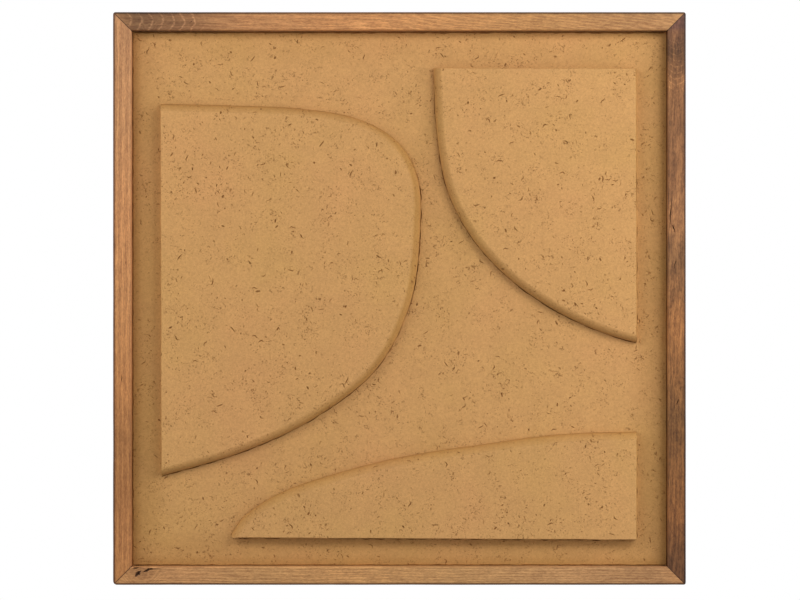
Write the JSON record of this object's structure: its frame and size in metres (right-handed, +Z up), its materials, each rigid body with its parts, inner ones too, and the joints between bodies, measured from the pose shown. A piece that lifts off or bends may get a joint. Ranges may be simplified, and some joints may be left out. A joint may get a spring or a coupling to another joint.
{
  "type": "wall relief panel",
  "caption": "Square wall relief: raised plates with straight and curved sides on a pitted ochre ground, in a narrow mitred wooden frame. It hangs by its top rail.",
  "frame": {"origin": "middle of the top rail's back face, on the wall plane, where the panel hangs", "axes": "+Z up, +Y out of the back into the wall, so the relief faces -Y, +X to the viewer's right"},
  "size_m": [0.6, 0.032, 0.6],
  "materials": {
    "rail_top_wood": "stained softwood, satin, knotty at its left end",
    "rail_left_wood": "stained softwood, satin, orange-brown",
    "rail_bottom_wood": "stained softwood, satin, mid-brown, one cracked knot",
    "rail_right_wood": "stained softwood, satin, dark reddish brown",
    "ochre_coat": "matt ochre plaster-like coat on board, with small pits and fine cracks"
  },
  "bodies": {
    "root": {"frame_rail_top": "rail_top_wood", "frame_rail_left": "rail_left_wood", "frame_rail_bottom": "rail_bottom_wood", "frame_rail_right": "rail_right_wood", "ground_board": "ochre_coat", "relief_plate_left": "ochre_coat", "relief_plate_upper_right": "ochre_coat", "relief_plate_lower": "ochre_coat"}
  },
  "joints": []
}
